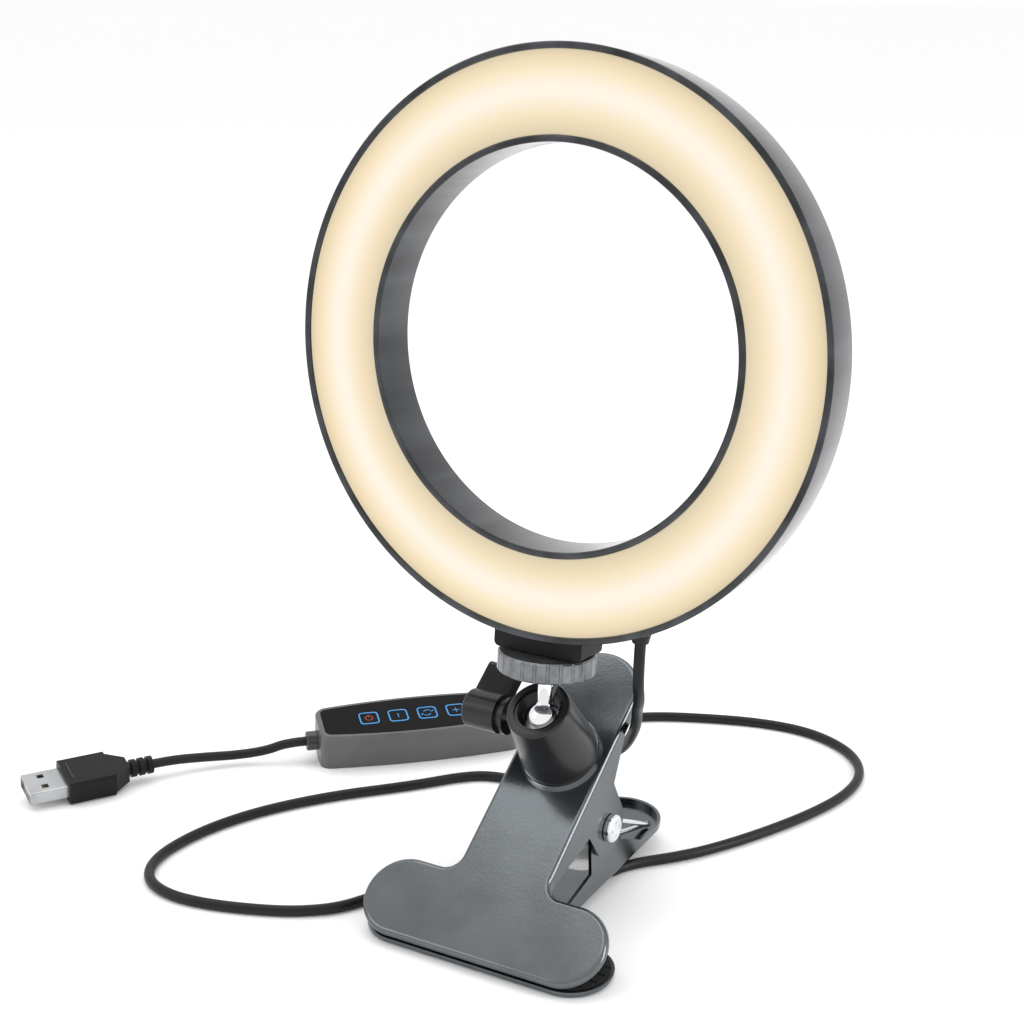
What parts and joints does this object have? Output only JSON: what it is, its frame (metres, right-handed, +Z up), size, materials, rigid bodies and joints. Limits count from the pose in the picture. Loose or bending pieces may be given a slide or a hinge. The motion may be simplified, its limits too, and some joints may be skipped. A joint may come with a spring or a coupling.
{
  "type": "ring light",
  "caption": "Desktop ring light on a ball head and a sprung clip clamp, with an in-line remote and a USB lead",
  "frame": {"origin": "bottom centre of the light without its lead, remote and plug, on the surface that it stands on", "axes": "+Z up, +X along the clamp's hinge, +Y from the clamp's mouth to its handles; the lit face looks along -Y"},
  "size_m": [0.2622, 0.2113, 0.2468],
  "materials": {
    "jaw_paint": "satin powder coat, fine orange peel",
    "jaw_rubber": "matt ribbed rubber",
    "zinc": "bright zinc plate",
    "spring_steel": "polished spring wire",
    "bright_steel": "turned and polished",
    "barrel_black": "smooth satin black enamel",
    "nylon": "natural nylon",
    "ring_black": "moulded gloss",
    "knob_plastic": "moulded satin gloss",
    "stud_chrome": "polished plate",
    "wheel_black": "dark anodised, ribbed",
    "shoe_plastic": "fine spark texture",
    "insert_brass": "turned",
    "housing_plastic": "satin gunmetal mould",
    "diffuser_lit": "opal acrylic, lit, emissive",
    "cover_plastic": "spark-eroded texture",
    "board": "white solder mask",
    "led_lens": "phosphor under clear resin",
    "lead_jacket": "satin soft PVC",
    "remote_plastic": "satin mould",
    "panel_gloss": "polished sheet",
    "switch_black": "moulded",
    "collar_plastic": "satin gloss mould",
    "key_gloss": "gloss with printed outline",
    "plug_steel": "drawn sheet, fine brushing",
    "tongue_plastic": "white moulding",
    "gold_contact": "plated",
    "plug_plastic": "fine textured mould"
  },
  "bodies": {
    "clamp_lower": {"lower_jaw": "jaw_paint", "lower_pad": "jaw_rubber", "pivot_screw": "zinc", "pivot_nut": "zinc", "torsion_spring": "spring_steel", "cord_hanging": "lead_jacket", "cord_floor_left": "lead_jacket", "cord_under_clamp": "lead_jacket", "cord_floor_right": "lead_jacket", "cord_plug": "lead_jacket", "remote_top_shell": "remote_plastic", "remote_bottom_shell": "remote_plastic", "remote_panel": "panel_gloss", "remote_pcb": "board", "tact_switches": "switch_black", "remote_collars": "collar_plastic", "remote_screws": "zinc", "usb_shell": "plug_steel", "usb_tongue": "tongue_plastic", "usb_contacts": "gold_contact", "usb_grip": "plug_plastic"},
    "clamp_upper": {"upper_jaw": "jaw_paint", "upper_pad": "jaw_rubber", "base_washer": "bright_steel", "base_screw": "zinc", "ball_barrel": "barrel_black", "seat_spring": "spring_steel", "ball_seat": "nylon", "retaining_ring": "ring_black", "brake_slug": "nylon"},
    "knob": {"knob_screw": "zinc", "tension_knob": "knob_plastic"},
    "stud": {"ball_stud": "stud_chrome"},
    "wheel": {"lock_wheel": "wheel_black"},
    "ring_head": {"mount_shoe": "shoe_plastic", "threaded_insert": "insert_brass", "shoe_screws": "zinc", "ring_housing": "housing_plastic", "diffuser": "diffuser_lit", "back_cover": "cover_plastic", "cover_screws": "zinc", "led_board": "board", "leds": "led_lens", "cord_gland": "lead_jacket"},
    "power_button": {"key_power": "key_gloss"},
    "minus_button": {"key_minus": "key_gloss"},
    "mode_button": {"key_mode": "key_gloss"},
    "plus_button": {"key_plus": "key_gloss"}
  },
  "joints": [
    {"name": "clamp_open", "type": "hinge", "parent": "clamp_lower", "child": "clamp_upper", "pos_m": [0, 0.00487, 0.02279], "axis": [-1, 0, 0], "range_deg": [0, 33], "stiffness_Nm_per_rad": 0.6, "springref_deg": -45.84, "deforming": ["torsion_spring", "cord_hanging"]},
    {"name": "knob_turn", "type": "hinge", "parent": "clamp_upper", "child": "knob", "pos_m": [0, -0.00788, 0.05688], "axis": [-1, 0, 0], "range_deg": [-20, 180]},
    {"name": "ball_tilt", "type": "hinge", "parent": "clamp_upper", "child": "stud", "pos_m": [0, -0.00942, 0.05897], "axis": [1, 0, 0], "range_deg": [-46, 68], "deforming": ["cord_hanging"]},
    {"name": "ring_turn", "type": "hinge", "parent": "stud", "child": "ring_head", "pos_m": [0, -0.00942, 0.05897], "axis": [0, 0.0906, 0.9959], "range_deg": [0, 90], "deforming": ["cord_hanging"]},
    {"name": "lock_wheel_turn", "type": "hinge", "parent": "stud", "child": "wheel", "pos_m": [0, -0.00942, 0.05897], "axis": [0, 0.0906, 0.9959], "continuous": true},
    {"name": "power_press", "type": "slide", "parent": "clamp_lower", "child": "power_button", "axis": [-0.1475, 0.1465, -0.9781], "range_m": [0, 0.00035], "stiffness_N_per_m": 400},
    {"name": "minus_press", "type": "slide", "parent": "clamp_lower", "child": "minus_button", "axis": [-0.1475, 0.1465, -0.9781], "range_m": [0, 0.00035], "stiffness_N_per_m": 400},
    {"name": "mode_press", "type": "slide", "parent": "clamp_lower", "child": "mode_button", "axis": [-0.1475, 0.1465, -0.9781], "range_m": [0, 0.00035], "stiffness_N_per_m": 400},
    {"name": "plus_press", "type": "slide", "parent": "clamp_lower", "child": "plus_button", "axis": [-0.1475, 0.1465, -0.9781], "range_m": [0, 0.00035], "stiffness_N_per_m": 400}
  ]
}
